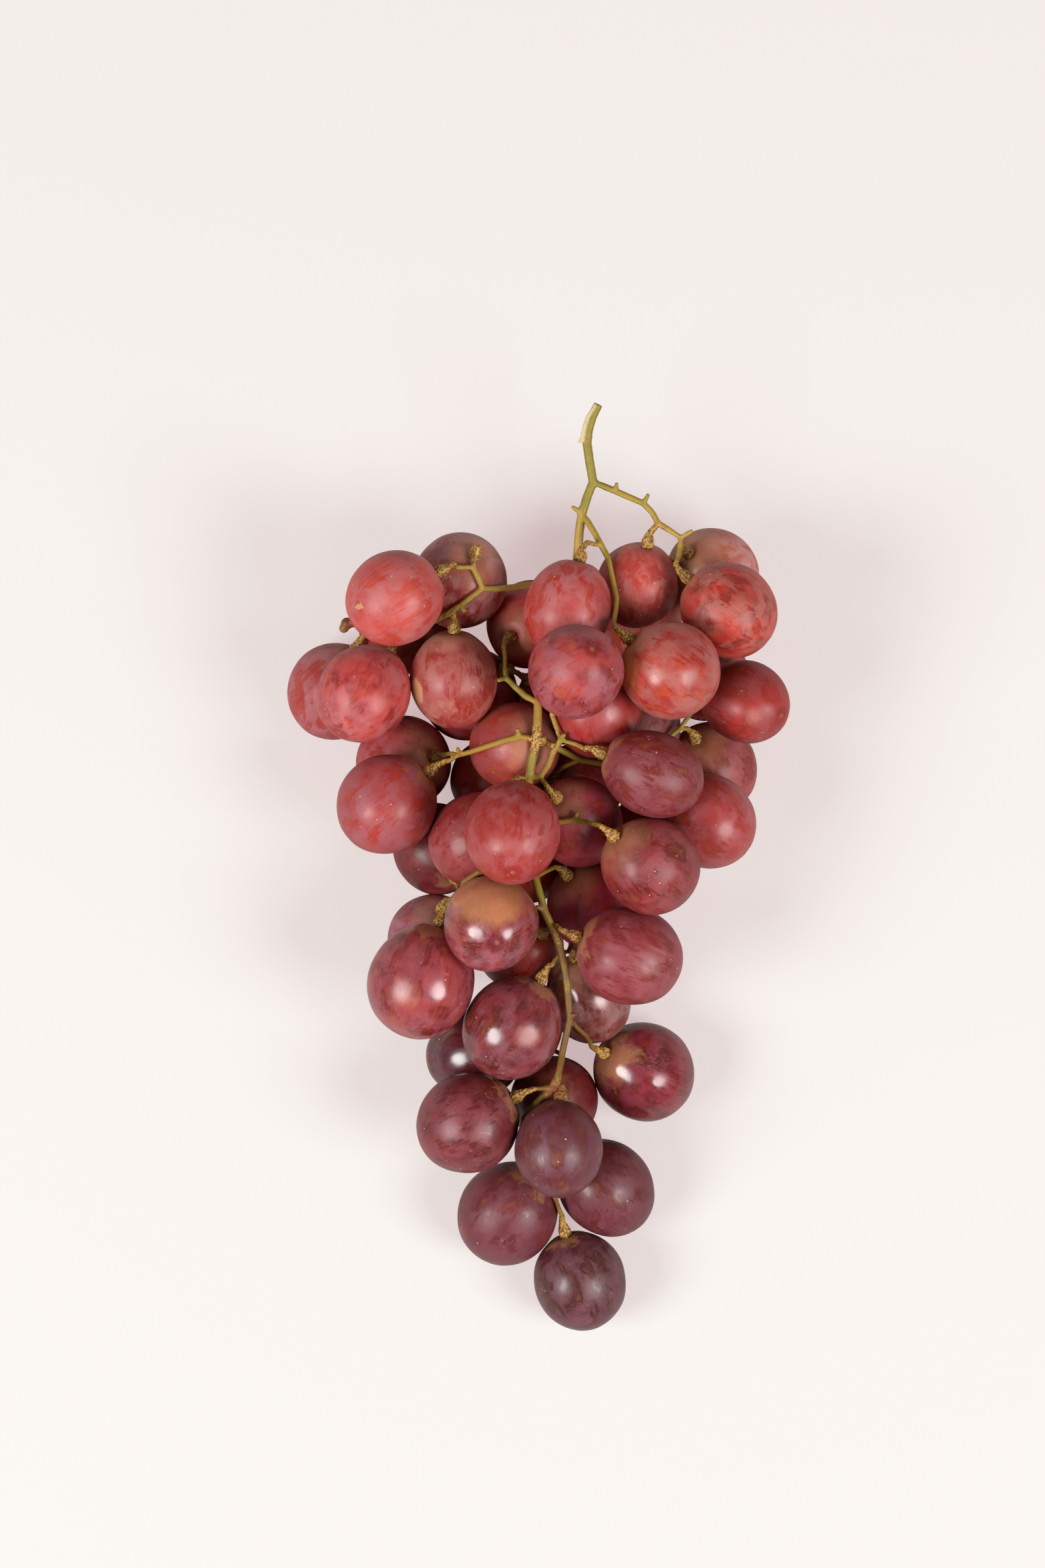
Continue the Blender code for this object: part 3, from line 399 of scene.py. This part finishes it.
# Marks seen from above: grape, kind, place (x, y in mm), half widths in mm, turn in degrees
grapeMarks = [
    (1, "scab", (-44.1, 66.3), (1.5, 1.1), 0), (1, "milkyAndPaintedHighlight", (-31.7, 59.0), (4.0, 2.5), -20),
    (5, "scab", (-30.0, 45.6), (1.9, 5.0), 12), (5, "milkyAndPaintedHighlight", (-22.5, 56.5), (6.0, 2.4), 0),
    (14, "milkyAndPaintedHighlight", (54.5, 39.3), (3.4, 3.4), 0), (31, "sunned", (-12.4, -5.6), (13.5, 8.6), -12),
    # the milky marks on grapes 32 and 34 sit on lamp highlights, and the thin one on 19 on the lit side of
    # its crease: painted highlights
    (32, "milkyAndPaintedHighlight", (-33.7, -29.8), (6.0, 6.0), 0), (34, "milkyAndPaintedHighlight", (-2.3, -40.7), (5.0, 5.0), 0),
    (19, "milkyAndPaintedHighlight", (31.0, -19.4), (6.5, 0.9), -25),
    (13, "sunned", (21.5, 53.0), (3.5, 9.0), 10), (11, "sunned", (38.5, 75.0), (9.0, 9.0), 0),
]
markKinds = ("scab", "milkyAndPaintedHighlight", "sunned")


def fitEllipsoid(place):
    # centre, long axis, half width and half length of the ellipsoid that the vertices lie on
    onSkin = place[place[:, 2] > 0.02 * mm]
    middle = onSkin.mean(axis=0)
    p = (onSkin - middle) / (10 * mm)
    x, y, z = p.T
    table = np.stack([x * x, y * y, z * z, 2 * x * y, 2 * x * z, 2 * y * z, x, y, z], axis=1)
    a = np.linalg.lstsq(table, np.ones(len(p)), rcond=None)[0]
    form = np.array([[a[0], a[3], a[4]], [a[3], a[1], a[5]], [a[4], a[5], a[2]]])
    centre = np.linalg.solve(form, -a[6:9] / 2)
    scale = 1 + centre @ form @ centre
    values, vectors = np.linalg.eigh(form / scale)
    halves = 1 / np.sqrt(values) * 10 * mm
    return middle + centre * 10 * mm, vectors[:, 0], (halves[1] + halves[2]) / 2, halves[0]


def markStrength(number, world):
    # 1 in the middle of each mark and 0 at its edge, as a vector of (scab, milky patch and painted
    # highlight, sunned)
    strength = [0.0, 0.0, 0.0]
    for grape, kind, spot, halves, turn in grapeMarks:
        if grape != number:
            continue
        angle = math.radians(turn)
        dx, dy = world.x / mm - spot[0], world.y / mm - spot[1]
        u = (dx * math.cos(angle) + dy * math.sin(angle)) / halves[0]
        v = (dy * math.cos(angle) - dx * math.sin(angle)) / halves[1]
        slot = markKinds.index(kind)
        strength[slot] = max(strength[slot], 1 - math.hypot(u, v))
    return strength


def grapePoint(n, number, halfWidth, halfLength, foldAngle):
    # a point of the skin in the grape's own space, for a direction n from its centre
    shape = grapeShape
    seed = Vector((number * 3.7, number * 1.3, number * 2.1))
    lump = 1 + shape["lump"] * noise.noise(n * 1.1 + seed)
    lump += shape["fineLump"] * noise.noise(n * 2.7 + seed)
    wide = halfWidth + shape["swell"]
    p = Vector((n.x * wide, n.y * wide, n.z * (halfLength + shape["swell"]))) * lump
    r = math.hypot(p.x, p.y)
    if p.z > 0:
        p.z -= shape["dimple"] * math.exp(-(r / shape["dimpleRadius"]) ** 2)
        ring = (r - 1.9 * shape["dimpleRadius"]) / shape["dimpleRadius"]
        p.z += shape["shoulder"] * math.exp(-ring * ring)
    else:
        p.z += shape["blossomDimple"] * math.exp(-(r / shape["blossomRadius"]) ** 2)
    if number in shape["creased"]:
        off = math.remainder(math.atan2(n.y, n.x) - foldAngle, 2 * math.pi)
        fold = math.exp(-(off / shape["creaseWidth"]) ** 2) * min(1, 3 * math.hypot(n.x, n.y) ** 2)
        p -= Vector((n.x, n.y, 0)) * shape["crease"] * fold
    return p


def makeGrape(node, stalkPlaces, pattern):
    number = int(node.name[-2:])
    centre, axis, halfWidth, halfLength = fitEllipsoid(meshPlaces(node.data))
    gaps = [np.linalg.norm(stalkPlaces - (centre + side * axis * halfLength), axis=1).min()
            for side in (1, -1)]
    if gaps[1] < gaps[0]:
        axis = -axis  # towards the stalk
    turn = Vector((0, 0, 1)).rotation_difference(Vector(axis))
    where = Matrix.Translation(Vector(centre)) @ turn.to_matrix().to_4x4()
    up = turn.inverted() @ Vector((0, 0, 1))
    foldAngle = math.atan2(up.y, up.x) + math.radians(grapeShape["creased"].get(number, 0))
    bm = bmesh.new()
    bmesh.ops.create_uvsphere(bm, u_segments=grapeShape["sides"], v_segments=grapeShape["rings"], radius=1)
    skinPlace, skinMarks = [], []
    for vert in bm.verts:
        p = grapePoint(vert.co.normalized(), number, halfWidth, halfLength, foldAngle)
        world = where @ p
        world.z = max(world.z, 0)  # pressed flat where it rests
        skinPlace.extend(p / mm)
        skinMarks.extend(markStrength(number, world) if world.z > centre[2] else (0.0, 0.0, 0.0))
        vert.co = world
    mesh = bpy.data.meshes.new(f"grape{number:02d}")
    bm.to_mesh(mesh)
    bm.free()
    for name, values in (("skinPlace", skinPlace), ("skinMarks", skinMarks)):
        mesh.attributes.new(name, "FLOAT_VECTOR", "POINT").data.foreach_set("vector", values)
    mesh.shade_smooth()
    mesh.materials.append(makeGrapeSkin(number, pattern))
    claimNode(linkedObject(f"grape{number:02d}", mesh), node)
    pole = Vector(centre) + Vector(axis) * (halfLength - grapeShape["dimple"] + grapeShape["swell"])
    return pole, Vector(axis)


stalkShape = {
    "voxel": 0.27 * mm, "smoothing": 3, "smoothingShare": 0.6,
    "swell": -0.06 * mm, "clearance": 0.3 * mm,  # clearance is what it keeps above the surface
    "wart": 0.34 * mm, "wartSize": 0.70 * mm,
    "wartNear": 3.5 * mm, "wartFar": 10.0 * mm,  # from the pole: fully warty, no longer warty
    "wartAside": 4.6 * mm,
    "grooves": 0.05 * mm,
    "capRadius": 1.9 * mm, "capThick": 0.9 * mm, "capAway": 0.6 * mm,
    "capPinch": 0.20, "pinchReach": 4.5 * mm,
    "dried": [((-47.4, 63.4), 4.5), ((4.6, -55.6), 3.0)],  # shrivelled brown spots from above, mm
    "driedSwell": 0.30 * mm,
    "torn": [(14.5, 117.4, 38.4), (12.6, 114.6, 38.0), (11.7, 111.6, 37.6), (11.2, 109.0, 37.2),
             (10.5, 108.3, 37.4)],  # a strip of bark torn back beside the cut end, mm
    "tornRadius": 0.5, "tornStep": 0.4,  # mm
    "knobs": [((-46.6, 63.4, 30.2), 1.2), ((-48.2, 63.0, 29.8), 1.35), ((-49.0, 61.8, 29.5), 1.1)],  # mm
}
stalkColours = {
    "olive": "86761C", "straw": "AE8C3C", "gold": "9A7428", "umber": "6E4A16",
    "cork": "BE924A", "corkPit": "80561E", "spot": "5C3A16", "dry": "743C1C", "bare": "C8B48A",
}
stalkHeights = {"umber": -24, "gold": 26, "straw": 74, "olive": 112}  # mm along the bunch


def makeStalkSkin():
    # Grape stalk: fresh green-gold shoot that turns brown down the bunch, and to dry, corky
    # tan near the grapes. Gives the eye a smooth olive stem and grainy golden pedicels.
    material = emptyMaterial("stalkBark")
    tree = material.node_tree
    ease = {"interpolation_type": "SMOOTHSTEP"}
    place = addNode(tree, "ShaderNodeTexCoord", {}, {}).outputs["Object"]
    axes = addNode(tree, "ShaderNodeSeparateXYZ", {}, {0: place}).outputs
    fac = {}
    for name in ("warty", "bead", "dried", "bared"):  # what the mesh carries
        fac[name] = addNode(tree, "ShaderNodeAttribute", {"attribute_name": name}, {}).outputs["Fac"]
    broad = addNode(tree, "ShaderNodeTexNoise", {}, {
        "Vector": place, "Scale": 130.0, "Detail": 4.0}).outputs["Fac"]
    specks = addNode(tree, "ShaderNodeTexNoise", {}, {
        "Vector": place, "Scale": 900.0, "Detail": 5.0, "Roughness": 0.65}).outputs["Fac"]

    # the colour changes along the bunch, with ragged borders
    wander = addNode(tree, "ShaderNodeMath", {"operation": "MULTIPLY_ADD"}, {0: broad, 1: 0.05, 2: -0.025})
    along = addNode(tree, "ShaderNodeMath", {"operation": "ADD"}, {0: axes["Y"], 1: wander})
    layers = []
    tones = list(stalkHeights)
    for lower, upper in zip(tones, tones[1:]):
        amount = addNode(tree, "ShaderNodeMapRange", ease, {
            "Value": along, "From Min": stalkHeights[lower] * mm, "From Max": stalkHeights[upper] * mm})
        layers.append((amount, stalkColours[upper]))
    green = addNode(tree, "ShaderNodeMapRange", ease, {"Value": broad, "From Min": 0.50, "From Max": 0.66})
    raised = addNode(tree, "ShaderNodeMapRange", ease,
                     {"Value": fac["bead"], "From Min": 0.45, "From Max": 0.85})
    cork = addNode(tree, "ShaderNodeMix", {"data_type": "RGBA"},
                   {0: raised, 6: stalkColours["corkPit"], 7: stalkColours["cork"]}).outputs[2]
    spots = addNode(tree, "ShaderNodeMapRange", ease,
                    {"Value": specks, "From Min": 0.60, "From Max": 0.68, "To Max": 0.5})
    layers += [(green, stalkColours["olive"]), (fac["warty"], cork), (fac["dried"], stalkColours["dry"]),
               (fac["bared"], stalkColours["bare"]), (spots, stalkColours["spot"])]
    colour = stalkColours["umber"]
    for amount, tint in layers:
        mix = addNode(tree, "ShaderNodeMix", {"data_type": "RGBA"}, {0: amount, 6: colour, 7: tint})
        colour = mix.outputs[2]

    bump = addNode(tree, "ShaderNodeBump", {}, {"Height": specks, "Strength": 0.5, "Distance": 0.10 * mm})
    shader = addNode(tree, "ShaderNodeBsdfPrincipled", {}, {
        "Base Color": colour, "Normal": bump, "Roughness": 0.52, "IOR": 1.45, "Subsurface Weight": 0.08,
        "Subsurface Radius": (0.8, 0.6, 0.2), "Subsurface Scale": 1.0 * mm})
    addNode(tree, "ShaderNodeOutputMaterial", {}, {"Surface": shader})
    return material


def tornStrip():
    # points along the strip of torn bark, in mm
    spots = []
    for start, end in zip(stalkShape["torn"], stalkShape["torn"][1:]):
        steps = max(1, round(math.dist(start, end) / stalkShape["tornStep"]))
        spots += [tuple(Vector(start).lerp(Vector(end), k / steps)) for k in range(steps)]
    return spots


def fusedStalk(node, poles):
    # the CAD stalk with its caps, knobs and torn bark, fused into one even skin
    bm = bmesh.new()
    bm.from_mesh(node.data)
    for pole, axis in poles:
        turn = Vector((0, 0, 1)).rotation_difference(axis).to_matrix().to_4x4()
        made = bmesh.ops.create_uvsphere(bm, u_segments=20, v_segments=10, radius=1)
        flat = Matrix.Diagonal((stalkShape["capRadius"], stalkShape["capRadius"], stalkShape["capThick"], 1))
        middle = Matrix.Translation(pole + axis * stalkShape["capAway"])
        bmesh.ops.transform(bm, matrix=middle @ turn @ flat, verts=made["verts"])
    for place, size in stalkShape["knobs"] + [(spot, stalkShape["tornRadius"]) for spot in tornStrip()]:
        made = bmesh.ops.create_uvsphere(bm, u_segments=16, v_segments=10, radius=size * mm)
        bmesh.ops.translate(bm, vec=Vector(place) * mm, verts=made["verts"])
    mesh = bpy.data.meshes.new("stalkRough")
    bm.to_mesh(mesh)
    bm.free()
    rough = linkedObject("stalkRough", mesh)
    remesh = rough.modifiers.new("even", "REMESH")
    remesh.mode = "VOXEL"
    remesh.voxel_size = stalkShape["voxel"]
    graph = bpy.context.evaluated_depsgraph_get()
    fine = bpy.data.meshes.new_from_object(rough.evaluated_get(graph))
    bpy.data.objects.remove(rough)
    fine.name = "stalkSkin"
    return fine


def smoothed(mesh):
    # vertex places, each moved part of the way to the middle of its neighbours, a few times
    place = meshPlaces(mesh)
    ends = np.empty(len(mesh.edges) * 2, np.int32)
    mesh.edges.foreach_get("vertices", ends)
    ends = ends.reshape(-1, 2)
    degree = np.bincount(ends.ravel(), minlength=len(place))[:, None]
    for _ in range(stalkShape["smoothing"]):
        total = np.zeros_like(place)
        np.add.at(total, ends[:, 0], place[ends[:, 1]])
        np.add.at(total, ends[:, 1], place[ends[:, 0]])
        place += stalkShape["smoothingShare"] * (total / degree - place)
    return place


def makeStalk(node, poles):
    fine = fusedStalk(node, poles)
    place = smoothed(fine)
    count = len(place)

    # each point's nearest stem pole decides how warty it is, and pinches the cap there
    away = np.full(count, 1.0)
    nearest = np.zeros(count, int)
    for index, (pole, _) in enumerate(poles):
        gap = np.linalg.norm(place - np.array(pole), axis=1)
        closer = gap < away
        away[closer] = gap[closer]
        nearest[closer] = index
    poleAt = np.array([pole for pole, _ in poles])[nearest]
    axisAt = np.array([axis for _, axis in poles])[nearest]
    reach = place - poleAt
    radial = reach - axisAt * np.sum(reach * axisAt, axis=1)[:, None]
    pinch = stalkShape["capPinch"] * np.clip(1 - away / stalkShape["pinchReach"], 0, 1) ** 0.5
    place -= radial * pinch[:, None]
    fine.vertices.foreach_set("co", place.ravel())
    fine.update()
    normal = np.empty(count * 3, np.float32)
    fine.vertices.foreach_get("normal", normal)
    normal = normal.reshape(-1, 3)

    # warts and fine grooves
    ease = np.clip((stalkShape["wartFar"] - away) / (stalkShape["wartFar"] - stalkShape["wartNear"]), 0, 1)
    beside = np.clip((stalkShape["wartAside"] - np.linalg.norm(radial, axis=1)) / mm, 0, 1)
    warty = ease * ease * (3 - 2 * ease) * beside
    lift = np.empty(count)
    bead = np.empty(count)
    for index in range(count):
        spot = Vector(place[index]) / stalkShape["wartSize"]
        ripple = noise.noise(spot * 2.3 + Vector((7, 3, 1)))
        bead[index] = 1 - 2 * abs(noise.noise(spot)) if warty[index] > 0 else 0.5
        lift[index] = stalkShape["wart"] * warty[index] * (bead[index] * 0.75 + 0.25 * ripple - 0.2)
        lift[index] += stalkShape["grooves"] * ripple

    # shrivelled spots swell, and the torn strip is bare
    dried = np.zeros(count)
    for spot, reachOut in stalkShape["dried"]:
        gap = np.linalg.norm(place[:, :2] - np.array(spot) * mm, axis=1) / (reachOut * mm)
        dried = np.maximum(dried, np.clip(1.3 - gap, 0, 1))
    bared = np.zeros(count)
    for spot in tornStrip():
        gap = np.linalg.norm(place - np.array(spot) * mm, axis=1) / (stalkShape["tornRadius"] * mm)
        bared = np.maximum(bared, np.clip(2.1 - gap, 0, 1))
    lift += stalkShape["driedSwell"] * dried * (0.6 + bead)
    place += normal * (lift + stalkShape["swell"])[:, None]
    place[:, 2] = np.maximum(place[:, 2], stalkShape["clearance"])
    fine.vertices.foreach_set("co", place.ravel())
    for name, values in (("warty", warty), ("bead", bead), ("dried", dried), ("bared", bared)):
        fine.attributes.new(name, "FLOAT", "POINT").data.foreach_set("value", values.astype(np.float32))
    fine.update()
    fine.shade_smooth()
    fine.materials.append(makeStalkSkin())
    claimNode(linkedObject("stalkSkin", fine), node)


studio = {
    # the paper glow is a painted glow that only the camera sees, lightening the paper's shadows; it is no
    # lamp
    "paperBounce": "BCB6B4", "paperSeen": "899791", "paperPaintedGlow": "C8B2B3",
    "paperHalf": 3.0, "paperDrop": 0.2 * mm,
    "boxSize": 0.66, "boxAway": 1.35,
    "boxes": [((-0.95, -0.32), 44.0, 17.0), ((0.91, -0.41), 42.0, 15.8)],  # side, tilt, watts
    "fill": "FFFFFF", "fillStrength": 0.22,
    "cameraHeight": 1.1, "cameraAside": (-0.0036, 0.0223), "frameHeight": 0.409, "film": 36.0,
}


def makePaper():
    # White paper that glows to the camera only: a darker paper with a painted glow added, which lightens the
    # shadows on it. Gives the eye an even pale ground with faint warm shadows; other light meets plain
    # paper.
    material = emptyMaterial("paperSweep")
    tree = material.node_tree
    plain = addNode(tree, "ShaderNodeBsdfDiffuse", {}, {"Color": studio["paperBounce"]})
    seen = addNode(tree, "ShaderNodeBsdfDiffuse", {}, {"Color": studio["paperSeen"]})
    # painted glow: emission the camera sees on the paper, which lightens the shadows cast on it
    glow = addNode(tree, "ShaderNodeEmission", {}, {"Color": studio["paperPaintedGlow"]})
    seenWithPaintedGlow = addNode(tree, "ShaderNodeAddShader", {}, {0: seen, 1: glow})
    ray = addNode(tree, "ShaderNodeLightPath", {}, {}).outputs["Is Camera Ray"]
    mix = addNode(tree, "ShaderNodeMixShader", {}, {0: ray, 1: plain, 2: seenWithPaintedGlow})
    addNode(tree, "ShaderNodeOutputMaterial", {}, {"Surface": mix})
    return material


def makeStudio():
    bm = bmesh.new()
    bmesh.ops.create_grid(bm, x_segments=1, y_segments=1, size=studio["paperHalf"])
    mesh = bpy.data.meshes.new("paperSweep")
    bm.to_mesh(mesh)
    bm.free()
    mesh.materials.append(makePaper())
    floor = linkedObject("paperSweep", mesh)
    floor.location.z = -studio["paperDrop"]

    for number, (side, tilt, watts) in enumerate(studio["boxes"]):
        lamp = bpy.data.lights.new(f"softBox{number}", "AREA")
        lamp.shape = "DISK"
        lamp.size = studio["boxSize"]
        lamp.energy = watts
        lean = math.radians(tilt)
        flat = Vector((*side, 0)).normalized() * math.sin(lean)
        towards = Vector((flat.x, flat.y, math.cos(lean)))
        box = linkedObject(f"softBox{number}", lamp)
        box.location = towards * studio["boxAway"]
        box.rotation_euler = towards.to_track_quat("Z", "Y").to_euler()

    world = bpy.data.worlds.new("studioFill")
    world.use_nodes = True
    background = world.node_tree.nodes["Background"]
    background.inputs["Color"].default_value = hexColour(studio["fill"])
    background.inputs["Strength"].default_value = studio["fillStrength"]
    bpy.context.scene.world = world

    camera = bpy.data.cameras.new("camera")
    camera.sensor_fit = "VERTICAL"
    camera.sensor_height = studio["film"]
    camera.sensor_width = studio["film"]
    camera.lens = studio["film"] * studio["cameraHeight"] / studio["frameHeight"]
    holder = linkedObject("camera", camera)
    holder.location = (*studio["cameraAside"], studio["cameraHeight"])
    bpy.context.scene.camera = holder
    bpy.context.scene.view_settings.view_transform = "Standard"


makeStudio()
print("studio ready")
skinPattern = makeSkinPattern()
stalkPlaces = meshPlaces(nodes["stalk"].data)
berries = [nodes[name] for name in sorted(nodes) if name.startswith("berry")]
poles = [makeGrape(berry, stalkPlaces, skinPattern) for berry in berries]
print("grapes made:", len(poles))
makeStalk(nodes["stalk"], poles)
print("stalk made")
